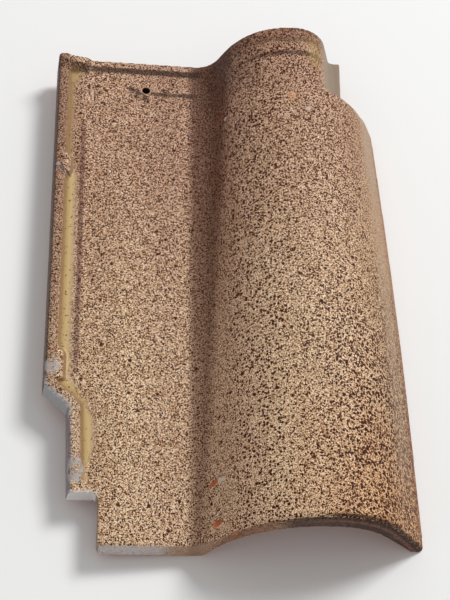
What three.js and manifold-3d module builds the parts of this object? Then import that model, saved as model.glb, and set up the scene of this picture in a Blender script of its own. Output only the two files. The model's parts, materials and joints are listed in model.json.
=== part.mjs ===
// Interlocking clay roof tile, pressed and fired in one piece: a flat pan on the left and a
// barrel roll on the right. It is drawn with the pan level: the foot at y = 0, the head at
// y = LENGTH, the left edge at x = 0 and the underside of the foot lip at z = 0. At the end
// it is turned to lie as it does on a level floor, on the lip, a nib and the roll's free edge.
import * as THREE from 'three';
import { mergeVertices } from 'three/addons/utils/BufferGeometryUtils.js';
import Module from 'manifold-3d';

// ---- driving sizes, mm -------------------------------------------------------------------
const LENGTH = 400; // foot to head
const WIDTH = 250; // left edge to the free edge of the roll
const PAN_TOP = 16; // weather face of the pan above the underside of the foot lip
const WALL = 10.5; // clay thickness of pan and roll
const LIP_Y = 12; // the thick lip along the foot
const LIP_SLOPE = 4; // run of the slope behind it
const LIP_CREST = 16.5; // its thickness at the crest of the roll
const LIP_LEFT = 11; // on the flank beside the pan
const LIP_RIGHT = 15; // and on the free side
const LIP_STEEPER = 11; // its inner flank beside the pan is steeper, degrees
const LIP_ROUND = 4.5; // rounding of its underside below the valley
const NOSE_Y = 4; // the upper edge of the foot is rounded over this run
const NOSE_CREST = 4.5; // where it drops by this much at the crest of the roll
const NOSE_FLANK = 3; // on its flanks
const NOSE_PAN = 2; // and along the pan

const VALLEY_FOOT = 101; // where the pan meets the roll, at the foot
const VALLEY_HEAD = 118; // and from the shoulder to the head
const VALLEY_R = 18; // hollow between pan and roll
const CREST_X = 180; // crest line of the roll
const CREST_FLAT = 2; // width of the crest between its two arcs
const CREST_FOOT = 71.8; // crest height at the foot
const CREST_HEAD = 69.4; // and from the shoulder to the head
const LEFT_FOOT = 54; // slope of the flank on the pan side at the foot, degrees
const LEFT_HEAD = 63.5; // and from the shoulder to the head
const RIGHT_FOOT = 55; // slope of the flank on the free side at the foot
const RIGHT_HEAD = 62; // and at the shoulder
const EDGE_Z = 14; // underside of the roll's free edge
const EDGE_W = 9; // width of that underside
const EDGE_BOW = 2.5; // how far the free edge bulges between foot and shoulder
const EDGE_IN = 2; // how much nearer it is at the shoulder than at the foot

const NECK_LENGTH = 53; // the roll's narrower neck, from its shoulder to the head
const SHOULDER_ROUND = 12; // its rounding along y at the crest
const SHOULDER_EDGE = 5; // and at the free edge, where it is tighter
const SHOULDER_SKEW = 4; // the crest's end stands back from the free edge's by this much
const SHOULDER_WALL = 10.5; // clay thickness behind its end face
const NECK_SLOPE = 68; // slope of the neck's wall on the free side
const FLANGE_X = 213.7; // ledge beside the neck, where it leaves the wall
const FLANGE_W = 9.5; // its width at the head
const FLANGE_TAPER = 3; // it is narrower at the shoulder by this much
const FLANGE_Z = 34; // top of the ledge
const FLANGE_T = 11; // thickness of the ledge

const EDGE_BOTTOM = 3; // underside of the side lock
const FACE_DRAFT = 1.2; // lean of the outer left face
const RIB_TOP = 19.5; // outer rib of the side lock
const RIB_W = 8.2; // its top
const RIB_R = 3.8; // rounding of its outer edge
const RIB_FOOT = 11; // where its inner wall meets the water channel
const CHANNEL_Z = 13.2; // the channel is deepest there
const CHANNEL_END = 21; // and rises gently to the pan up to here
const LOCK_W = 17; // width of the thicker underside below the lock
const BLOCK_W = 4.4; // reach of the two blocks on the rib into the channel
const BLOCKS = [ // along y each starts, is full, starts to end and ends
  [115.5, 116.8, 137, 142],
  [283.5, 292.5, 303.5, 309],
];
const RUN_OUT = [44, 59]; // here rib and channel run out to the pan's level

const STEP_X = 16.4; // the lower left side stands in by this much
const STEP_Y = [95, 110.5]; // the oblique cut that leads to it
const STEP_LEAN = 2; // and it leans in by this much from there to the notch
const NOTCH_X = 38.5; // the square notch in the foot's left corner
const NOTCH_Y = 35;
const NOTCH_R = 4; // rounding of its inner corner
const FOOT_R = 4; // rounding of the tile's own corner beside it

const RIM_W = 6; // raised rim along the head of the pan
const RIM_RAMP = 4.5; // run of the slope in front of it
const RIM_RISE = [2.2, 2.9]; // its height beside the left corner and beside the roll
const KNOB_Z = 25.2; // the rounded knob on the rib at the left head corner
const SHELF_Z = [23.2, 21.2]; // the shelf beside it falls from the first height to the last
const SHELF_W = 3; // it ends this far beyond the channel
const SHELF_RAMP = 3.5; // run of its drop to the rim
const RIDGE_W = 23; // raised band across the neck, along the head
const RIDGE_RISE = 1.5;
const RIDGE_RAMP = 3;
const GROOVE_AT = 11; // the groove that splits the band in two, from the head
const GROOVE_HALF = 3;
const GROOVE_DEEP = 0.8;

const NAIL_X = 69.7; // the nail hole
const NAIL_AT = 25.5; // from the head
const NAIL_R = 3;
const NIBS_X = [40, 72]; // centre lines of the two nibs that hook over the batten
const NIB_AT = 19; // their foot-facing side, from the head
const NIB_D = 13; // nib along y, at its root
const NIB_W = 20; // nib across, at its root
const NIB_DRAFT = 1.5; // each side leans in by this much

// ---- helpers -----------------------------------------------------------------------------
const mix = (a, b, k) => a + (b - a) * k;
const mixAll = (a, b, k) => a.map((v, i) => mix(v, b[i], k));
const ramp = (v, from, to) => THREE.MathUtils.clamp((v - from) / (to - from), 0, 1);
const spread = (lo, hi, n) => Array.from({ length: n + 1 }, (_, i) => mix(lo, hi, i / n));
const quarterRound = (u) => 1 - Math.sqrt(1 - u * u);
const fromHead = (y) => LENGTH - y; // and back
const neckY = fromHead(NECK_LENGTH);

// A polyline with true arcs at its corners. A corner is [x, z, cut, steps]: its arc leaves
// both legs at the distance cut, or less where a leg is too short for the arcs at its ends.
// With no steps the corner stays sharp.
function roundedLine(corners) {
  const at = corners.map(([x, z]) => new THREE.Vector2(x, z));
  const cuts = corners.map((corner) => (corner[3] ? corner[2] : 0));
  const room = (i, j) => 0.98 * at[i].distanceTo(at[j]) / (cuts[i] + cuts[j]);
  return corners.flatMap(([, , , steps], i) => {
    if (!steps) {
      return [at[i]];
    }
    const cut = cuts[i] * Math.min(1, room(i, i - 1), room(i, i + 1));
    const back = at[i - 1].clone().sub(at[i]).normalize();
    const on = at[i + 1].clone().sub(at[i]).normalize();
    const turn = Math.PI - Math.acos(THREE.MathUtils.clamp(back.dot(on), -1, 1));
    return spread(0, 1, steps).map((t) => {
      const a = (1 - t) ** 2;
      const b = 2 * Math.cos(turn / 2) * t * (1 - t);
      const c = t ** 2;
      return at[i].clone()
        .addScaledVector(back, cut * a / (a + b + c))
        .addScaledVector(on, cut * c / (a + b + c));
    });
  });
}

// One side of the roll: a straight flank of the given slope, which passes through a point dx
// beside the crest line at the height z, and a crest arc that reaches it from the crest line.
// The flank meets the crest's height at cut, so the arc leaves both legs at that distance.
function side(crest, degrees, dx, z) {
  const slope = THREE.MathUtils.degToRad(degrees);
  return { crest, slope, dx, z, cut: Math.max(1, dx - (crest - z) / Math.tan(slope)) };
}

// How far beside the crest line that flank is at another height.
const sideAt = (s, z) => s.dx + (s.z - z) / Math.tan(s.slope);

// The same side moved inwards: by the thickness atCrest at the crest, atFlank on the flank,
// where it may also be steeper by some degrees.
function inside(s, atCrest, atFlank, steeper = 0) {
  const crest = s.crest - atCrest;
  const dx = s.dx - atFlank / Math.sin(s.slope);
  const slope = s.slope + THREE.MathUtils.degToRad(steeper);
  return { ...s, crest, slope, dx, cut: Math.max(1, dx - (crest - s.z) / Math.tan(slope)) };
}

// How far the left side stands in, on a line at the distance x beside it. Such a line turns
// into the oblique cut and out of it a little later, so the rib keeps its width there.
const stepTurn = Math.atan(STEP_X / (STEP_Y[1] - STEP_Y[0]));
const later = (x) => x * Math.tan(stepTurn / 2);
const standsIn = (y, x) => STEP_X * (1 - ramp(y - later(x), ...STEP_Y))
  + STEP_LEAN * (1 - ramp(y - later(x), NOTCH_Y, STEP_Y[0]));

// The free edge along the tile: 0 at the foot, 1 at the shoulder.
const edgeAt = (k) => WIDTH - EDGE_IN * k + EDGE_BOW * Math.sin(Math.PI * k);

// ---- the outline across the tile at the station y -----------------------------------------
function outline(y) {
  const toHead = ramp(y, 0, neckY);
  const lip = 1 - ramp(y, LIP_Y, LIP_Y + LIP_SLOPE);
  const wallCrest = mix(WALL, LIP_CREST, lip);
  const wallLeft = mix(WALL, LIP_LEFT, lip);
  const wallRight = mix(WALL, LIP_RIGHT, lip);
  const panBottom = mix(PAN_TOP - WALL, 0, lip);
  const nose = quarterRound(1 - ramp(y, 0, NOSE_Y));
  const panTop = PAN_TOP - NOSE_PAN * nose;
  const rim = ramp(fromHead(y), RIM_W + RIM_RAMP, RIM_W);
  const half = CREST_FLAT / 2;

  // side lock: outer rib, water channel and, at the head, the knob and the shelf beside it
  const inBlock = ([start, full, falls, end]) => Math.min(ramp(y, start, full),
    1 - ramp(y, falls, end));
  const block = BLOCK_W * Math.max(...BLOCKS.map(inBlock));
  const deep = ramp(y, ...RUN_OUT);
  const shelfEnd = CHANNEL_END + SHELF_W;
  const shelf = (x) => mix(...SHELF_Z, ramp(x, RIB_FOOT, shelfEnd));
  const lock = [
    [FACE_DRAFT, mix(panTop, RIB_TOP, deep), KNOB_Z, RIB_R, 5],
    [RIB_W + block, mix(panTop, RIB_TOP, deep), KNOB_Z, 2.2, 3],
    [RIB_FOOT + block, mix(panTop, CHANNEL_Z, deep), shelf(RIB_FOOT), 3, 4],
    [CHANNEL_END, panTop, shelf(CHANNEL_END), 1.5, 2],
    [shelfEnd, panTop, shelf(shelfEnd), 1.5, 2],
    [shelfEnd + SHELF_RAMP, panTop, PAN_TOP + RIM_RISE[0], 1.5, 2],
  ].map(([x, z, atHead, cut, n]) => [x + standsIn(y, x), mix(z, atHead, rim), cut, n]);

  // roll, pan side
  const crest = mix(CREST_FOOT, CREST_HEAD, toHead);
  const valleyX = mix(VALLEY_FOOT, VALLEY_HEAD, toHead);
  const flank = side(crest, mix(LEFT_FOOT, LEFT_HEAD, toHead), CREST_X - half - valleyX, PAN_TOP);
  const left = inside(flank, NOSE_CREST * nose, NOSE_FLANK * nose);
  const leftIn = inside(flank, wallCrest, wallLeft, LIP_STEEPER * lip);
  const valleyZ = mix(panTop, PAN_TOP + RIM_RISE[1], rim);

  // roll, free side: the barrel and the neck, joined by the rounded shoulder
  const round = (at, r) => quarterRound(ramp(y, at - r, at));
  const outerNeck = round(neckY - SHOULDER_SKEW, SHOULDER_ROUND);
  const outerEdge = round(neckY, SHOULDER_EDGE);
  const innerNeck = round(neckY - SHOULDER_SKEW - SHOULDER_WALL, SHOULDER_ROUND);
  const edgeX = edgeAt(toHead);
  const rightX = CREST_X + half;
  const free = side(crest, mix(RIGHT_FOOT, RIGHT_HEAD, toHead), edgeX - rightX, EDGE_Z);
  const barrel = inside(free, NOSE_CREST * nose, NOSE_FLANK * nose);
  const barrelIn = inside(free, wallCrest, wallRight);
  const neck = side(crest, NECK_SLOPE, FLANGE_X - rightX, FLANGE_Z);
  const neckIn = inside(neck, WALL, WALL);
  const flangeBottom = FLANGE_Z - FLANGE_T;
  const flangeEnd = FLANGE_X + FLANGE_W - FLANGE_TAPER * ramp(y, LENGTH, neckY);

  // raised band over the neck, split by its groove
  const groove = Math.max(0, 1 - Math.abs(fromHead(y) - GROOVE_AT) / GROOVE_HALF);
  const band = RIDGE_RISE * ramp(fromHead(y), RIDGE_W + RIDGE_RAMP, RIDGE_W)
    - GROOVE_DEEP * groove;

  const top = [
    [standsIn(y, 0), EDGE_BOTTOM],
    ...lock,
    [CREST_X - half - sideAt(left, valleyZ), valleyZ, VALLEY_R * Math.tan(left.slope / 2), 6],
    [CREST_X - half - left.cut, left.crest + band, left.cut, 12],
    mixAll([rightX + barrel.cut, barrel.crest + band, barrel.cut, 12],
      [rightX + neck.cut, crest + band, neck.cut, 12], outerNeck),
    mixAll([rightX + sideAt(barrel, FLANGE_Z), FLANGE_Z, 3, 3],
      [FLANGE_X, FLANGE_Z, 3, 3], outerEdge),
    mixAll([rightX + sideAt(barrel, flangeBottom), flangeBottom, 1.5, 2],
      [flangeEnd, FLANGE_Z, 1.5, 2], outerEdge),
    mixAll([rightX + barrel.dx, EDGE_Z], [flangeEnd, flangeBottom], outerEdge),
  ];
  const innerValley = mix((VALLEY_R + WALL) * Math.tan(left.slope / 2), LIP_ROUND, lip);
  const bottom = [
    mixAll([edgeX - EDGE_W, EDGE_Z], [rightX + sideAt(neckIn, flangeBottom), flangeBottom],
      innerNeck),
    mixAll([rightX + barrelIn.cut, barrelIn.crest, barrelIn.cut, 12],
      [rightX + neckIn.cut, neckIn.crest, neckIn.cut, 12], innerNeck),
    [CREST_X - half - leftIn.cut, leftIn.crest, leftIn.cut, 12],
    [CREST_X - half - sideAt(leftIn, panBottom), panBottom, innerValley, 6],
    [LOCK_W + 3 + standsIn(y, LOCK_W + 3), panBottom],
    [LOCK_W + standsIn(y, LOCK_W), EDGE_BOTTOM],
  ];
  return [...roundedLine(top), ...roundedLine([top[top.length - 1], ...bottom]).slice(1)];
}

// ---- loft along the tile -----------------------------------------------------------------
const shoulderSteps = [0, 0.3, 0.55, 0.75, 0.88, 0.96, 1];
const stations = [
  ...spread(0, LENGTH, 10),
  LIP_Y,
  LIP_Y + LIP_SLOPE,
  ...RUN_OUT,
  ...STEP_Y.flatMap((y) => [0, RIB_W, CHANNEL_END].map((x) => y + later(x))),
  ...BLOCKS.flat(),
  ...shoulderSteps.flatMap((k) => [
    NOSE_Y * (1 - k),
    neckY - SHOULDER_SKEW - SHOULDER_ROUND * (1 - k),
    neckY - SHOULDER_EDGE * (1 - k),
    neckY - SHOULDER_SKEW - SHOULDER_WALL - SHOULDER_ROUND * (1 - k),
  ]),
  ...[RIDGE_W + RIDGE_RAMP, RIDGE_W, RIM_W + RIM_RAMP, RIM_W].map(fromHead),
  ...[-GROOVE_HALF, 0, GROOVE_HALF].map((d) => fromHead(GROOVE_AT + d)),
  NOTCH_Y,
].sort((a, b) => a - b).filter((y, i, all) => i === 0 || y - all[i - 1] > 0.02);

function loft() {
  const rings = stations.map((y) => outline(y));
  const n = rings[0].length;
  const positions = rings.flatMap((ring, i) => ring.flatMap((p) => [p.x, stations[i], p.y]));
  const index = [];
  for (let i = 0; i + 1 < rings.length; i += 1) {
    for (let j = 0; j < n; j += 1) {
      const a = i * n + j;
      const b = i * n + (j + 1) % n;
      index.push(a, b, a + n, b, b + n, a + n);
    }
  }
  // the end faces: the foot's looks towards -Y, the head's towards +Y
  const cap = (ring, first, isFoot) => {
    const faces = THREE.ShapeUtils.triangulateShape(ring, []);
    const areas = faces.map((face) => THREE.ShapeUtils.area(face.map((i) => ring[i])));
    const forward = (areas.reduce((sum, v) => sum + v) > 0) === isFoot;
    faces.forEach(([i, j, k]) => {
      index.push(first + i, first + (forward ? j : k), first + (forward ? k : j));
    });
  };
  cap(rings[0], 0, true);
  cap(rings[rings.length - 1], (rings.length - 1) * n, false);
  const geometry = new THREE.BufferGeometry();
  geometry.setAttribute('position', new THREE.Float32BufferAttribute(positions, 3));
  geometry.setIndex(index);
  return geometry;
}

// ---- cuts and nibs -----------------------------------------------------------------------
const box = (x0, x1, y0, y1, z0, z1) => new THREE.BoxGeometry(x1 - x0, y1 - y0, z1 - z0)
  .translate((x0 + x1) / 2, (y0 + y1) / 2, (z0 + z1) / 2);

// the lie: the steepest line from the outer corner of the free edge down to the foot lip
const widest = Math.max(...stations.map((y) => edgeAt(ramp(y, 0, neckY))));
const lieSlope = Math.max(...outline(0).filter((p) => p.x < CREST_X && p.y < EDGE_Z)
  .map((p) => (EDGE_Z - p.y) / (widest - p.x)));
const lieZ = (x) => EDGE_Z - (widest - x) * lieSlope;

// a nib tapers from its root to a flat tip that reaches down to the lie; the side that
// bears on the batten is square to the pan
const nibTip = lieZ(Math.max(...NIBS_X) + NIB_W / 2 - NIB_DRAFT);
const nibY = fromHead(NIB_AT);
function nib(x) {
  const g = box(x - NIB_W / 2, x + NIB_W / 2, nibY, nibY + NIB_D, nibTip, PAN_TOP - WALL / 2);
  const p = g.attributes.position;
  for (let i = 0; i < p.count; i += 1) {
    if (p.getZ(i) < 0) {
      p.setX(i, p.getX(i) + NIB_DRAFT * Math.sign(x - p.getX(i)));
      p.setY(i, Math.min(p.getY(i), nibY + NIB_D - NIB_DRAFT));
    }
  }
  return g;
}

const nailHole = new THREE.CylinderGeometry(NAIL_R, NAIL_R, 4 * WALL, 24)
  .rotateX(Math.PI / 2).translate(NAIL_X, fromHead(NAIL_AT), PAN_TOP);

// the notch is cut straight down; its outline rounds the inner corner and the foot's corner
const plan = new THREE.Shape();
plan.moveTo(-WIDTH, -LENGTH);
plan.lineTo(NOTCH_X + FOOT_R, -LENGTH);
plan.lineTo(NOTCH_X + FOOT_R, 0);
plan.absarc(NOTCH_X + FOOT_R, FOOT_R, FOOT_R, -Math.PI / 2, -Math.PI, true);
plan.lineTo(NOTCH_X, NOTCH_Y - NOTCH_R);
plan.absarc(NOTCH_X - NOTCH_R, NOTCH_Y - NOTCH_R, NOTCH_R, 0, Math.PI / 2, false);
plan.lineTo(-WIDTH, NOTCH_Y);
const notch = new THREE.ExtrudeGeometry(plan, {
  depth: 2 * WIDTH,
  bevelEnabled: false,
  curveSegments: 8,
}).translate(0, 0, -WIDTH);

const wasm = await Module();
wasm.setup();
function solid(geometry) {
  const bare = new THREE.BufferGeometry();
  bare.setAttribute('position', geometry.attributes.position);
  bare.setIndex(geometry.index);
  const merged = mergeVertices(bare, 1e-4);
  return new wasm.Manifold(new wasm.Mesh({
    numProp: 3,
    vertProperties: new Float32Array(merged.attributes.position.array),
    triVerts: new Uint32Array(merged.index.array),
  }));
}

const body = NIBS_X.reduce((sum, x) => sum.add(solid(nib(x))), solid(loft()))
  .subtract(solid(notch))
  .subtract(solid(nailHole));
const result = body.getMesh();

const tile = new THREE.BufferGeometry();
tile.setAttribute('position', new THREE.Float32BufferAttribute(result.vertProperties, 3));
tile.setIndex(Array.from(result.triVerts));

// turn it into its lie, centre it and set it on the floor
tile.rotateY(Math.atan(lieSlope));
tile.computeBoundingBox();
const low = tile.boundingBox.min;
const high = tile.boundingBox.max;
tile.translate(-(low.x + high.x) / 2, -(low.y + high.y) / 2, -low.z);
tile.computeVertexNormals();

const mesh = new THREE.Mesh(tile, new THREE.MeshStandardMaterial({
  color: 0xb09576,
  roughness: 0.45,
}));
mesh.name = 'roof_tile';

const group = new THREE.Group();
group.name = 'clay_roof_tile';
group.add(mesh);

export default group;
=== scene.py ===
# A pan-and-roll roof tile of pressed, glazed and fired clay, lying unheld on a pale floor.
import json
import math

import bpy
import numpy as np
from mathutils import Matrix, Vector


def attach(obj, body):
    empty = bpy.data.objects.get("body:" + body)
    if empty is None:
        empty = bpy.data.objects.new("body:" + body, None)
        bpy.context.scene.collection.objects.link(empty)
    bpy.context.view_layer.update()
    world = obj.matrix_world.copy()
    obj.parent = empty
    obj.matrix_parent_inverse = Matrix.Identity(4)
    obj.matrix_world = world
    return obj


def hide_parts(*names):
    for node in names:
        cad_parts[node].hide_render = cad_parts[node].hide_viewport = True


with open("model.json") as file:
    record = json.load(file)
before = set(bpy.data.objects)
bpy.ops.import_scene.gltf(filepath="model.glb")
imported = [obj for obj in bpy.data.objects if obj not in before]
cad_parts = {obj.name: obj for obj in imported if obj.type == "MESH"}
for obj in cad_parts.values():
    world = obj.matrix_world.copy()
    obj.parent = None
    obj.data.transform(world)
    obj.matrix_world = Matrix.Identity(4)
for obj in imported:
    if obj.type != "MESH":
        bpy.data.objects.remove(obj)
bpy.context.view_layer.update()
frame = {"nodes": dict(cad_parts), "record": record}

scene = bpy.context.scene
scene.view_settings.view_transform = "Standard"

# ---- camera ------------------------------------------------------------------------------
# It stands beyond the foot of the tile and looks down over the roll towards the head, with
# a long lens.
CAMERA_AT = (-0.05021, -0.48015, 0.76707)       # metres
CAMERA_TURN = (31.7205, -2.6666, -1.9254)       # degrees
LENS = 75                                       # mm
SENSOR = 36                                     # mm, the picture's height

camera = bpy.data.objects.new("camera", bpy.data.cameras.new("camera"))
camera.data.sensor_fit = "VERTICAL"
camera.data.sensor_height = SENSOR
camera.data.lens = LENS
camera.location = CAMERA_AT
camera.rotation_euler = [math.radians(v) for v in CAMERA_TURN]
scene.collection.objects.link(camera)
scene.camera = camera

# ---- floor and light ---------------------------------------------------------------------
# A smooth pale studio floor, a white room, and one large soft lamp on the free side and a
# little towards the head, which leaves the pan side of the roll in half shade.
FLOOR = 6.0                     # metres
FLOOR_COLOUR = "#f7f7f6"
FLOOR_GRAIN = 350               # grains to the metre
GRAIN_DEPTH = 0.0002            # metres
ROOM_STRENGTH = 0.45
LAMP_FROM = (2.44, 1.89, 3.28)  # metres
LAMP_SIZE = 1.4                 # metres
LAMP_POWER = 138                # watts


def linear(code):
    """A colour written as sRGB hex, as the linear colour that a node takes."""
    parts = [int(code[i:i + 2], 16) / 255 for i in (1, 3, 5)]
    return [c / 12.92 if c <= 0.04045 else ((c + 0.055) / 1.055) ** 2.4 for c in parts] + [1.0]


def add(tree, kind, inputs=(), stops=(), **settings):
    """Adds a node with its settings, sets or links its inputs by name or number, and gives a
    colour ramp its stops."""
    node = tree.nodes.new("ShaderNode" + kind)
    for name, value in settings.items():
        setattr(node, name, value)
    for socket, value in dict(inputs).items():
        if isinstance(value, bpy.types.NodeSocket):
            tree.links.new(value, node.inputs[socket])
        else:
            node.inputs[socket].default_value = value
    for number, (position, code) in enumerate(stops):
        if number > 1:
            node.color_ramp.elements.new(position)
        node.color_ramp.elements[number].position = position
        node.color_ramp.elements[number].color = linear(code)
    return node


bpy.ops.object.select_all(action="DESELECT")
bpy.ops.mesh.primitive_plane_add(size=FLOOR, location=(0, 0, 0))
floor = bpy.context.active_object
floor.name = "floor"
paint = bpy.data.materials.new("matt_white_paint")
paint.use_nodes = True
paint.node_tree.nodes.clear()
grain = add(paint.node_tree, "TexNoise", {"Scale": FLOOR_GRAIN, "Detail": 4})
relief = add(paint.node_tree, "Bump", {"Strength": 0.1, "Distance": GRAIN_DEPTH,
                                       "Height": grain.outputs[0]})
wash = add(paint.node_tree, "BsdfPrincipled", {
    "Base Color": linear(FLOOR_COLOUR), "Roughness": 0.9, "Specular IOR Level": 0.2,
    "Normal": relief.outputs[0]})
add(paint.node_tree, "OutputMaterial", {"Surface": wash.outputs[0]})
floor.data.materials.append(paint)

world = bpy.data.worlds.new("white_room")
scene.world = world
world.use_nodes = True
room = world.node_tree
room.nodes.clear()
path = add(room, "LightPath")
seen = add(room, "Math", {0: path.outputs["Is Camera Ray"], 1: path.outputs["Is Glossy Ray"]},
           operation="MAXIMUM")
seen = add(room, "Math", {0: seen.outputs[0], 1: path.outputs["Is Transmission Ray"]},
           operation="MAXIMUM")
level = add(room, "MapRange", {"Value": seen.outputs[0], "To Min": ROOM_STRENGTH, "To Max": 1.0})
white = add(room, "Background", {"Color": linear("#ffffff"), "Strength": level.outputs[0]})
add(room, "OutputWorld", {"Surface": white.outputs[0]})

lamp = bpy.data.objects.new("soft_lamp", bpy.data.lights.new("soft_lamp", "AREA"))
lamp.data.size = LAMP_SIZE
lamp.data.energy = LAMP_POWER
lamp.location = LAMP_FROM
lamp.rotation_euler = (-Vector(LAMP_FROM)).to_track_quat("-Z", "Y").to_euler()
scene.collection.objects.link(lamp)

# ---- the tile's body ---------------------------------------------------------------------
# One piece of clay, pressed between two moulds: flat pan, side lock, roll, neck and nibs. Every
# edge is softly rounded and the faces are very slightly uneven. Small chips have been knocked
# out of the roll, its foot edge and the rib since.
MM = 0.001
PAN_POINT = Vector((56, 200, 16))   # mm, the record's point on the pan, on the level tile
GRID = 0.8   # mm between points while the clay is worked
ROUNDS = 5     # passes that round the edges to about 1 mm
TRIANGLES = 190000                  # that the finished piece keeps
SWELL = (45, 0.35)                  # mm across and mm deep: unevenness left by the press
PEEL = (7, 0.10)                    # and by the spray
PAD_PROUD = 0.5                     # mm, the raised strip behind the nail hole
PAD_FRONT = (369.4, 371.6)          # mm from the foot, where it starts and is full
PAD_LEFT, PAD_RIGHT = (72, 76), (106, 112)      # mm from the left edge, where its ends fade
RIM_AT = 388                        # mm from the foot, where the head rim starts

# knocks and marks: two ends on the level tile, width and depth in mm, and a colour with its
# strength; where there is no colour, the glaze is gone and the clay shows
MARKS = {
    "flank_chip_upper": ((108.6, 38.0, 24.2), (113.6, 39.6, 31.2), 4.2, 0.7, None, 1),
    "flank_scuff": ((113.6, 39.6, 31.4), (118.2, 38.2, 37.6), 3.0, 0.0, "#dccec6", 0.7),
    "flank_chip_lower": ((109.6, 9.8, 27.2), (115.2, 11.0, 35.0), 4.6, 0.8, None, 1),
    "foot_chip": ((120.6, 0.4, 37.2), (123.9, 0.4, 42.8), 3.2, 0.5, None, 0.7),
    "rib_chip": ((7.2, 137.0, 19.5), (8.6, 139.0, 19.5), 2.2, 0.25, None, 0.8),
    "rim_chip": ((25.0, 59.0, 19.5), (26.0, 61.5, 19.0), 2.0, 0.25, None, 0.8),
    "rib_end_scuff": ((5.3, 118.5, 19.5), (6.8, 132.0, 19.5), 11.0, 0.0, "#b5aeac", 0.75),
    "rim_end_scuff": ((22.5, 41.0, 16.2), (24.0, 60.5, 19.4), 13.0, 0.0, "#b3afae", 0.9),
    "block_scratch": ((3.6, 294.7, 19.3), (10.3, 289.1, 19.2), 3.0, 0.2, "#665b56", 0.85),
    "block_edge": ((9.6, 289.6, 19.2), (14.6, 286.8, 14.0), 3.0, 0.2, "#5c504a", 0.85),
    "block_fleck": ((2.4, 296.0, 18.8), (5.4, 294.4, 19.5), 3.6, 0.0, "#b5b0ad", 0.7),
    "valley_scratch": ((120.4, 337.8, 22.0), (128.2, 341.0, 36.4), 2.6, 0.1, "#84432f", 0.75),
    "valley_fleck": ((127.4, 331.8, 35.6), (128.4, 334.6, 37.6), 3.0, 0.0, "#d8d2ca", 0.7),
    "crest_scuff": ((169.0, 335.8, 68.6), (178.9, 328.1, 69.5), 7.5, 0.0, "#cf8f68", 0.5),
    "crest_fleck": ((183.0, 322.0, 69.6), (186.0, 319.0, 69.4), 4.0, 0.0, "#c9c2ba", 0.5),
    "pan_spot_one": ((34.8, 222.2, 16.0), (36.8, 223.0, 16.0), 2.6, 0.1, "#2b1e1a", 0.9),
    "pan_spot_two": ((25.8, 221.0, 16.0), (27.4, 221.4, 16.0), 2.2, 0.1, "#2b1e1a", 0.9),
    "pan_fleck": ((42.2, 291.8, 16.0), (43.0, 294.4, 16.0), 1.8, 0.0, "#ddd8d0", 0.8),
    # a dark streak beside the nail hole
    "dark_streak_by_the_nail_hole": ((54.0, 376.6, 16.0), (71.0, 364.2, 16.0), 8.0, 0.0, "#33221a", 0.85),
    # painted shade on the foot-facing slope of the shelf in the head corner
    "painted_shade_in_the_head_corner": ((17.5, 393.0, 20.0), (26.5, 389.0, 16.6), 11.0, 0.0, "#43322c", 0.75),
}

# The tile lies with its free edge lower than its side lock. Places on it are mm on the level
# tile instead, x from its left edge, y from its foot and z from its underside; CORNER is the
# floor's centre in those.
pan_face = next(mount for mount in frame["record"]["mounts"] if mount["name"] == "pan_face")
LEAN = math.atan2(pan_face["axis"][0], pan_face["axis"][2])
level_turn = Matrix.Rotation(-LEAN, 3, "Y")
CORNER = PAN_POINT - level_turn @ Vector(pan_face["pos_m"]) / MM

tile = bpy.data.objects.new("pressed_tile", frame["nodes"]["roof_tile"].data.copy())
scene.collection.objects.link(tile)
bpy.ops.object.select_all(action="DESELECT")
bpy.context.view_layer.objects.active = tile
tile.select_set(True)
bpy.ops.object.mode_set(mode="EDIT")
bpy.ops.mesh.select_all(action="SELECT")
bpy.ops.mesh.remove_doubles(threshold=1e-6)
bpy.ops.object.mode_set(mode="OBJECT")


def work(piece, kind, **settings):
    """Applies one modifier to a piece."""
    modifier = piece.modifiers.new(kind.lower(), kind)
    for name, value in settings.items():
        setattr(modifier, name, value)
    bpy.ops.object.modifier_apply(modifier=modifier.name)


work(tile, "REMESH", mode="VOXEL", voxel_size=GRID * MM, use_smooth_shade=True)
work(tile, "SMOOTH", factor=0.5, iterations=ROUNDS)
for name, (wide, deep) in (("swell", SWELL), ("peel", PEEL)):
    cloud = bpy.data.textures.new(name, "CLOUDS")
    cloud.noise_scale = wide * MM
    cloud.noise_depth = 1
    work(tile, "DISPLACE", texture=cloud, texture_coords="LOCAL", direction="NORMAL",
         strength=deep * MM, mid_level=1.0)


def read(vertices, name):
    """One vector of each point of a mesh, as rows."""
    values = np.empty(len(vertices) * 3, np.float32)
    vertices.foreach_get(name, values)
    return values.reshape(-1, 3)


def rise(value, low, high):
    """0 below low, 1 above high, and a smooth climb between."""
    k = np.clip((value - low) / (high - low), 0, 1)
    return k * k * (3 - 2 * k)


points = read(tile.data.vertices, "co")
normals = read(tile.data.vertices, "normal")
level_points = points / MM @ np.array(level_turn).T + np.array(CORNER)
x, y = level_points[:, 0], level_points[:, 1]
move = np.zeros(len(points))
for first, last, width, depth, *_ in MARKS.values():
    first, last = np.array(first), np.array(last)
    length = np.linalg.norm(last - first)
    run = (last - first) / length
    offset = level_points - (first + last) / 2
    lengthwise = offset @ run
    sideways = np.linalg.norm(offset - np.outer(lengthwise, run), axis=1)
    reach = np.hypot(lengthwise / (length / 2), sideways / (width / 2))
    move -= depth * np.sqrt(np.clip(1 - reach ** 2, 0, 1))
# the strip behind the nail hole stands a little proud, up to the head rim
weather_side = (normals[:, 2] > 0.5) & (y < RIM_AT)
pad = rise(y, *PAD_FRONT) * rise(x, *PAD_LEFT) * (1 - rise(x, *PAD_RIGHT))
move += PAD_PROUD * pad * weather_side
points += normals * (move * MM)[:, None]
tile.data.vertices.foreach_set("co", points.ravel())
tile.data.update()
faces = sum(len(face.vertices) - 2 for face in tile.data.polygons)
work(tile, "DECIMATE", ratio=TRIANGLES / faces, use_collapse_triangulate=True)
bpy.ops.object.shade_smooth()
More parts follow.
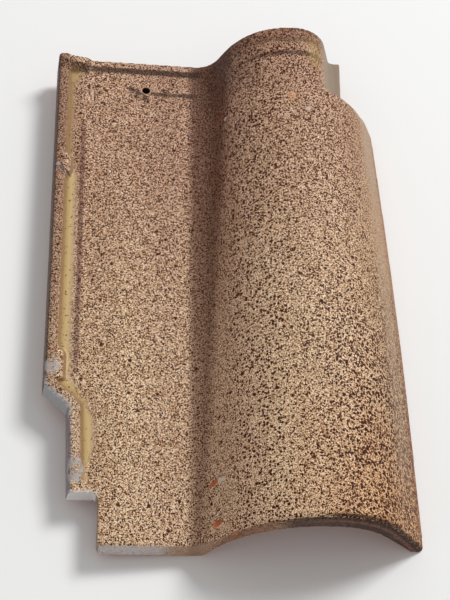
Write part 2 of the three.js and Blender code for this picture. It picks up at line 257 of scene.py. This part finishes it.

# ---- glaze and clay ----------------------------------------------------------------------
# Fired clay under a sprayed satin glaze, beige with dark brown specks. It ran thin in the lock's
# channel, where it looks olive yellow. Faces that look sideways or towards the foot are painted
# grey: painted shade and painted sky light. The underside got none and shows matt orange clay.
CLAY_TONES = ((0.35, "#a65c3a"), (0.52, "#be6e48"), (0.70, "#cb855f"))
GLAZE_TONES = ((0.36, "#704623"), (0.45, "#b48b62"), (0.53, "#d8b790"), (0.61, "#ffecd2"))
CHANNEL_TONES = ((0.17, "#9a7b52"), (0.47, "#d6bb82"), (0.60, "#cfb289"), (0.75, "#c8aa88"))
SOOT_TONES = ((0.40, "#1e1618"), (0.60, "#4a332b"))
CHANNEL_FROM, CHANNEL_TO = 9, 21    # mm from the left edge, where its tones start and end
SMALL_DOTS = (1.3, 0.15, 0.32)      # mm apart; least radius and its spread, in that spacing
LARGE_DOTS = (2.2, -0.04, 0.30)
BLOTS = (6.5, -0.10, 0.26)
DOT_TONES = ((0.075, "#682e0e"), (0.01, "#2a0b00"))     # reach past the radius: halo and dot
DOT_SOFT = 0.05                     # half the width of a dot's soft edge, in that spacing
DOT_RAGGED = 0.2                    # and how far the mottle bends that edge

# uneven patterns: the size of their features in mm, their detail and roughness, and a shift in
# mm that keeps them apart; the real mottle and grit are finer than this, and are drawn as
# coarse as they need to show
PATTERNS = {
    "wander": (9, 3, 0.5, 0),       # of the glaze's borders
    "mottle": (0.7, 2, 0.6, 0),     # of the glaze
    "grit": (0.5, 2, 0.5, 9),
    "sheen": (6, 3, 0.5, 2),
    "droplets": (2.2, 1, 0.5, 3),   # in the channel
    "speckle": (1.2, 2, 0.7, 12),   # on the roll's foot
    "patches": (1.4, 2, 0.6, 7),    # of the painted grey on the pan's foot face
    "soot": (1.6, 2, 0.6, 8),
    "wear": (1.8, 2, 0.6, 4),       # of sharp edges
    "ragged": (1.6, 2, 0.6, 5),     # edge of a chip
    "rubbed": (5, 3, 0.6, 6),       # inside a scuff
    "firing": (14, 5, 0.6, 11),     # of the bare clay
}

# places on the level tile, in mm
STEP_X, STEP_Y = 16.4, (95, 110.5)  # the left side's lower end stands in, after an oblique cut
STEP_LEAN = 2                       # and it leans in by this much from there to the notch
NOTCH_Y = 35                        # the square notch in the foot's left corner
NAIL_HOLE, NAIL_R = (69.7, 374.5, 0), 3
ROLL_AXIS, ROLL_R = (181, 0, 17), 54.8          # the arc of the roll's free side at the foot
ROLL_FLANK, FLANK_FROM = math.radians(55), 226  # and the straight flank beyond it
RIDGE = (5.9, 8.3)                  # a ridge along the foot face, this deep under the upper side
RIDGE_NEARER = 2                    # and nearer to it by this much on the free side

glaze = bpy.data.materials.new("speckled_satin_glaze_on_fired_clay")
glaze.use_nodes = True
tree = glaze.node_tree
tree.nodes.clear()
coords = add(tree, "TexCoord").outputs["Object"]
# a point's place in mm on the level tile, and the way that the surface faces there
place = add(tree, "Mapping", {"Vector": coords, "Location": CORNER, "Rotation": (0, -LEAN, 0),
                              "Scale": [1 / MM] * 3}).outputs[0]
across, along, height = add(tree, "SeparateXYZ", {0: place}).outputs
facing = add(tree, "NewGeometry").outputs["Normal"]
faces_across, faces_along, faces_up = add(tree, "SeparateXYZ", {0: facing}).outputs


def joined(operation, values):
    """One value from several, taken two at a time."""
    out = values[0]
    for value in values[1:]:
        out = add(tree, "Math", {0: out, 1: value}, operation=operation).outputs[0]
    return out


def total(*amounts):
    """The sum of the amounts."""
    return joined("ADD", amounts)


def both(*masks):
    """Where all of the masks show; a number among them makes the result weaker."""
    return joined("MULTIPLY", masks)


def either(*masks):
    """Where any of the masks shows."""
    return joined("MAXIMUM", masks)


def step(value, low, high):
    """0 below low and 1 above high, or the reverse where low is the greater."""
    up = low < high
    return add(tree, "MapRange", {
        "Value": value, "From Min": min(low, high), "From Max": max(low, high),
        "To Min": 0.0 if up else 1.0, "To Max": 1.0 if up else 0.0},
        interpolation_type="SMOOTHSTEP").outputs[0]


def within(value, low, high, soft):
    """1 between low and high, with edges that are soft on either side."""
    return both(step(value, low - soft, low + soft), step(value, high + soft, high - soft))


def past(start, direction):
    """How many mm a point lies past the start, in a direction on the level tile."""
    away = add(tree, "VectorMath", {0: place, 1: start}, operation="SUBTRACT").outputs[0]
    return add(tree, "VectorMath", {0: away, 1: direction},
               operation="DOT_PRODUCT").outputs["Value"]


pattern = {}
for name, (size, detail, rough, shift) in PATTERNS.items():
    moved = add(tree, "VectorMath", {0: place, 1: (shift, 2 * shift, 3 * shift)}).outputs[0]
    pattern[name] = add(tree, "TexNoise", {"Vector": moved, "Scale": 1 / size, "Detail": detail,
                                           "Roughness": rough}).outputs[0]

# how far a point is from the left edge, which steps in at the oblique cut
lower_end = add(tree, "MapRange", {
    "Value": along, "From Min": NOTCH_Y, "From Max": STEP_Y[0],
    "To Min": -STEP_X - STEP_LEAN, "To Max": -STEP_X}).outputs[0]
cut_turn = math.atan2(STEP_X, STEP_Y[1] - STEP_Y[0])
cut = past((STEP_X, STEP_Y[0], 0), (math.cos(cut_turn), math.sin(cut_turn), 0))
upper_end = add(tree, "Math", {0: across, 1: cut}, operation="MINIMUM").outputs[0]
from_edge = either(upper_end, total(across, lower_end))

# the glaze's borders wander by up to 1.5 mm to either side
wander = total(both(pattern["wander"], 3.0), -1.5)
edge_wander = total(from_edge, wander)
beside = total(across, wander)

# speckled glaze: a pale mottle with tints, two of them painted shade along the valley; a tint is
# a mask and the colour that it multiplies by
on_roll = step(across, 98, 130)
on_rib = step(from_edge, 9.5, 8.5)
rib_top = step(height, 17, 18.5)
# the valley between the pan and the roll, where shade is painted
valley = both(step(total(across, both(along, -0.018)), 93.5, 101),
              step(total(across, both(along, -0.070)), 109, 101))
TINTS = {
    "upper_half": (step(along, 120, 330), "#f0e6ea"),
    "pan_beside_the_roll": (within(across, 70, 103, 22), "#f0ecee"),
    "pan_beside_the_lock": (both(within(across, 24, 50, 8), step(along, 330, 240)), "#f1eeec"),
    # painted shade along the valley, and more painted shade high in it
    "valley": (valley, "#bbb4b6"),
    "more_painted_shade_high_in_the_valley": (both(valley, step(along, 60, 260)), "#e5e5e2"),
    "pan_flank_of_the_roll": (within(across, 104, 136, 10), "#f9f2f4"),
    "neck": (both(step(along, 340, 350), on_roll), "#f2eeee"),
    "end_of_the_neck": (both(step(along, 376, 392), on_roll), "#d8cfcc"),
    "foot_of_the_roll": (both(step(across, 130, 215), step(along, 125, 10)), "#f0decc"),
    "outer_rib": (both(on_rib, rib_top, step(along, 95, 112)), "#d3cdcd"),
    "free_flank": (both(step(across, 195, 235), step(along, -60, 200)), "#e0dcd4"),
}
colour = add(tree, "ValToRGB", {0: pattern["mottle"]}, GLAZE_TONES).outputs[0]
for mask, tint in TINTS.values():
    colour = add(tree, "Mix", {0: mask, 6: colour, 7: linear(tint)}, data_type="RGBA",
                 blend_type="MULTIPLY").outputs[2]

# the specks: small dots all over, larger ones on the roll, and a few blots; they crowd beside
# the crest, low on the roll, on the rib and low on the free flank, and a little towards the
# head, and there are fewest on the ledge and high on the free flank
ledge = both(step(beside, 198, 206), step(along, 343, 349))
high_flank = both(step(across, 212, 240), step(along, 150, 260))
towards_head = step(along, 80, 330)
beside_crest = both(within(across, 118, 160, 12), total(1, both(towards_head, -0.5)))
crowd = either(both(beside_crest, 0.34),
               both(step(across, 140, 215), step(along, 240, 80), 0.56),
               both(step(from_edge, 10, 9), 0.2),
               both(step(across, 216, 232), step(along, 170, 90), 0.64))
off_roll = step(both(on_roll, step(high_flank, 1, 0)), 1, 0)
FEWER = (
    (SMALL_DOTS, total(either(both(high_flank, 0.36), ledge),
                       both(beside_crest, 0.16), both(towards_head, -0.10))),
    (LARGE_DOTS, total(off_roll, both(crowd, -1), both(towards_head, -0.22))),
    (BLOTS, ledge),
)
for (spacing, least, spread), fewer in FEWER:
    cells = add(tree, "TexVoronoi", {"Vector": place, "Scale": 1 / spacing})
    pick = add(tree, "SeparateXYZ", {0: cells.outputs["Color"]}).outputs
    radius = total(both(pick[0], spread), least, both(fewer, -0.5))
    gap = total(cells.outputs["Distance"], both(pattern["mottle"], DOT_RAGGED), -DOT_RAGGED / 2,
                both(radius, -1))
    strength = total(both(pick[1], 0.2), 0.8)
    for reach, tone in DOT_TONES:
        dot = both(strength, step(gap, reach + DOT_SOFT, reach - DOT_SOFT))
        colour = add(tree, "Mix", {0: dot, 6: colour, 7: linear(tone)},
                     data_type="RGBA").outputs[2]

# the olive strip in the channel narrows near the head, along the oblique cut and towards its
# lower end, and has a few brown droplets
in_lock = both(within(edge_wander, 8, 22, 1), within(along, 44, 393, 2))
near_head = step(along, 286, 300)
narrower = total(both(near_head, 4), both(within(along, 92, 110, 6), 4.5),
                 both(step(along, 75, 44), 6))
strip = both(in_lock, step(height, 16.2, 15.8), step(faces_up, 0.75, 0.9),
             step(total(edge_wander, narrower), 20.5, 15.5))
slope = add(tree, "MapRange", {"Value": from_edge, "From Min": CHANNEL_FROM,
                               "From Max": CHANNEL_TO}).outputs[0]
olive = add(tree, "ValToRGB", {0: slope}, CHANNEL_TONES).outputs[0]
droplets = both(step(pattern["droplets"], 0.36, 0.30), 0.8)
olive = add(tree, "Mix", {0: droplets, 6: olive, 7: linear("#6a4a30")},
            data_type="RGBA").outputs[2]
olive = add(tree, "Mix", {0: near_head, 6: olive, 7: linear("#dcd2dc")}, data_type="RGBA",
            blend_type="MULTIPLY").outputs[2]

# how many of its radii a point is from the middle of the nail hole, at any height
ANY_HEIGHT = 1e6
hole = add(tree, "Mapping", {
    "Vector": place, "Location": NAIL_HOLE, "Scale": (NAIL_R, NAIL_R, ANY_HEIGHT)},
    vector_type="TEXTURE").outputs[0]
hole = add(tree, "VectorMath", {0: hole}, operation="LENGTH").outputs["Value"]

# how deep a point lies under the roll's upper side: under its arc, or past that under the
# straight flank
from_axis = add(tree, "VectorMath", {0: place, 1: ROLL_AXIS}, operation="SUBTRACT").outputs[0]
from_axis = add(tree, "VectorMath", {0: from_axis, 1: (1, 0, 1)},
                operation="MULTIPLY").outputs[0]
arc = add(tree, "VectorMath", {0: from_axis}, operation="LENGTH").outputs["Value"]
flank = past(ROLL_AXIS, (math.sin(ROLL_FLANK), 0, math.cos(ROLL_FLANK)))
outwards = add(tree, "Mix", {0: step(across, FLANK_FROM - 1, FLANK_FROM + 1), 2: arc, 3: flank},
               data_type="FLOAT").outputs[0]
deep = total(ROLL_R, both(outwards, -1))

# zones painted over the glaze, some of them painted shade, painted sky light and painted sheen: a
# mask, from places in mm and from the way that the surface faces, a colour, and how much of it
# shows
left_side = step(faces_across, -0.35, -0.6)
low_edge = both(left_side, step(from_edge, 8, 4))
outer_strip = within(beside, 231, 244, 3)
worn = both(step(faces_up, 0.3, 0.5), step(pattern["wear"], 0.44, 0.54))
foot_face = step(faces_along, -0.55, -0.8)
foot_edge = both(step(along, 6, 5), step(beside, 168, 182))
foot_front = both(step(faces_along, -0.82, -0.92), step(along, 3, 2))
foot_round = both(step(faces_along, -0.6, -0.85), step(along, 4, 3))
ridge = within(total(deep, both(step(across, 195, 235), RIDGE_NEARER)), *RIDGE, 0.9)
patches = step(pattern["patches"], 0.36, 0.46)
speckle = step(pattern["speckle"], 0.42, 0.56)
soot = add(tree, "ValToRGB", {0: pattern["soot"]}, SOOT_TONES).outputs[0]
ZONES = {
    "neck_wall_and_ledge": (ledge, "#928272", 0.95),
    # painted shade on the steep neck beside the pan
    "painted_shade_on_the_neck_beside_the_pan": (both(step(along, 345, 365), step(across, 158, 140), on_roll),
                            "#3d2a22", 0.25),
    "strip_beside_the_lock": (both(within(from_edge, 20.2, 23.8, 1), within(along, 125, 336, 9)),
                              "#56292c", 0.62),
    "low_rib": (both(on_rib, rib_top, step(along, 112, 95)), "#a8968c", 0.20),
    # painted sheen along the free edge of the flank, paler and greyer high up
    "painted_sheen_on_the_outer_strip": (both(outer_strip, step(along, 10, 60)), "#a98f7a", 0.22),
    "painted_grey_sheen_higher_up": (both(outer_strip, step(along, 240, 320)), "#a5937f", 0.5),
    "free_edge": (both(step(across, 244.5, 246.5), step(along, 345, 340)), "#7d5038", 0.4),
    "olive_channel": (strip, olive, 1.0),
    "olive_at_the_head": (both(within(edge_wander, 12, 18, 3), within(along, 380, 390, 4)),
                          "#c2a771", 0.6),
    "shade_under_the_knob": (both(within(edge_wander, 9.5, 16, 1.5), within(along, 391, 396, 1)),
                             "#6b5442", 0.5),
    "inner_wall_of_the_rib": (both(in_lock, step(height, 17.6, 16.0), step(faces_up, 0.92, 0.8)),
                              "#957753", 0.9),
    # painted shade on the foot-facing slope under the head rim
    "painted_shade_under_the_head_rim": (both(within(along, 390, 394, 0.8), within(across, 26, 112, 3)),
                           "#42302a", 0.82),
    # painted shade on the foot-facing step of the pad behind the nail hole
    "painted_shade_on_the_pad_step": (both(within(along, 369.2, 372.6, 1.2), within(across, 73, 108, 3)),
                            "#3a2a22", 0.75),
    "thin_round_the_nail_hole": (within(hole, 1.0, 1.4, 0.1), "#d8b09a", 0.5),
    # painted shade inside the nail hole
    "nail_hole": (both(step(hole, 1.15, 1.05), step(height, 15.5, 14.9)), "#1c120d", 0.95),
    # painted shade on the foot-facing slope of the neck's ridge
    "painted_shade_on_the_band_of_the_neck": (both(within(along, 373.6, 377, 1), within(across, 144, 199, 5)),
                         "#3a261c", 0.60),
    "groove_of_the_neck": (both(within(along, 386.5, 391, 1.2), within(across, 150, 199, 5)),
                           "#5a4232", 0.45),
    "neck_stain": (both(within(across, 189, 199, 5), within(along, 366, 392, 6)), "#b59a5e", 0.34),
    # painted shade on the faces that look left, with painted grey-blue sky light low down and
    # painted shade on the notch's side
    "left_face": (both(low_edge, step(along, 95, 110)), "#453838", 0.8),
    "painted_shade_and_sky_light_low_on_the_left_side": (both(low_edge, step(along, 110, 95)), "#78747c", 0.85),
    "painted_shade_on_the_notch_side": (both(left_side, step(along, NOTCH_Y, NOTCH_Y - 2), step(across, 48, 44)),
                   "#85756f", 0.6),
    # painted grey sky light on the faces that look towards the foot: the oblique cut, the notch
    # and the pan's foot
    "painted_sky_light_on_the_oblique_cut": (both(step(faces_along, -0.25, -0.5), within(along, 93, 112, 1),
                         step(from_edge, 6, 4), step(height, 19.2, 18.2)), "#aeabae", 0.9),
    "painted_sky_light_on_the_notch_face": (both(foot_face, within(along, NOTCH_Y - 2, NOTCH_Y + 2, 1)), "#eae4e3", 0.95),
    "painted_sky_light_on_the_pan_foot_face": (both(foot_face, step(across, 98, 70), step(along, 2, 1), patches),
                      "#c6bfc1", 0.85),
    "foot_face_at_the_valley": (both(foot_face, within(beside, 84, 112, 5), step(along, 2, 1)),
                                "#ac8872", 0.65),
    "worn_edge_of_the_cut": (both(worn, step(from_edge, 4.5, 2.5), within(along, 88, 116, 4)),
                             "#cfcac8", 0.8),
    "worn_edge_of_the_notch": (both(worn, within(along, NOTCH_Y, NOTCH_Y + 2.5, 0.8),
                                    step(across, 40, 38)), "#cfcac8", 0.8),
    "roll_foot_edge": (both(foot_edge, within(faces_along, -0.80, -0.35, 0.1)), "#2c1812", 0.8),
    "roll_foot_face": (both(foot_front, step(beside, 138, 158)), soot, 0.9),
    "roll_foot_beside_the_pan": (both(foot_front, within(beside, 112, 148, 8)), "#764e3a", 0.75),
    "roll_foot_top_strip": (both(step(along, 4.5, 2.5), step(beside, 176, 200),
                                 step(faces_along, -0.5, -0.3)), "#3a2218", 0.55),
    "roll_foot_tip": (both(foot_round, step(beside, 190, 215)), "#2c1c18", 0.4),
    "roll_foot_ridge": (both(foot_round, speckle, ridge, step(across, 152, 176)), "#8e5c46", 0.8),
}
for mask, shade, share in ZONES.values():
    shade = linear(shade) if isinstance(shade, str) else shade
    colour = add(tree, "Mix", {0: both(mask, share), 6: colour, 7: shade},
                 data_type="RGBA").outputs[2]

# bare clay: the underside without the foot of the roll, the nibs, the wall inside the
# shoulder, and the chips
bare = either(both(step(faces_up, -0.10, -0.30), either(step(along, 0.8, 2.2),
                                                        step(beside, 158, 148))),
              step(height, -0.6, -1.4),
              both(step(faces_along, -0.6, -0.8), step(along, 60, 80), step(across, 118, 126)))
rubbed = step(pattern["rubbed"], 0.35, 0.6)
WIDE_MARK = 4       # mm, a wider one is uneven inside
for first, last, width, _, shade, share in MARKS.values():
    first, last = Vector(first), Vector(last)
    local = add(tree, "Mapping", {
        "Vector": place, "Location": (first + last) / 2,
        "Rotation": (last - first).to_track_quat("X", "Z").to_euler(),
        "Scale": ((last - first).length / 2, width / 2, width / 2)},
        vector_type="TEXTURE").outputs[0]
    reach = add(tree, "VectorMath", {0: local}, operation="LENGTH").outputs["Value"]
    spot = both(step(total(reach, both(pattern["ragged"], 0.8)), 1.50, 1.25), share)
    if not shade:
        bare = either(bare, spot)
        continue
    if width > WIDE_MARK:
        spot = both(spot, rubbed)
    colour = add(tree, "Mix", {0: spot, 6: colour, 7: linear(shade)},
                 data_type="RGBA").outputs[2]
clay = add(tree, "ValToRGB", {0: pattern["firing"]}, CLAY_TONES).outputs[0]
colour = add(tree, "Mix", {0: bare, 6: colour, 7: clay}, data_type="RGBA").outputs[2]

# sheen and relief: the glaze is satin and a little uneven, the bare clay is matt
SATIN, UNEVEN_SATIN, MATT = 0.50, 0.18, 0.85
RELIEF = 0.00035    # metres
satin = total(both(pattern["sheen"], UNEVEN_SATIN), SATIN)
gloss = add(tree, "Mix", {0: bare, 2: satin, 3: MATT}, data_type="FLOAT").outputs[0]
bumps = total(both(pattern["mottle"], 0.6), both(pattern["grit"], 0.25))
relief = add(tree, "Bump", {"Strength": 0.35, "Distance": RELIEF, "Height": bumps})
surface = add(tree, "BsdfPrincipled", {
    "Base Color": colour, "Roughness": gloss, "IOR": 1.5, "Specular IOR Level": 0.12,
    "Normal": relief.outputs[0]})
add(tree, "OutputMaterial", {"Surface": surface.outputs[0]})

tile.data.materials.clear()
tile.data.materials.append(glaze)
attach(tile, "root")
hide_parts("roof_tile")
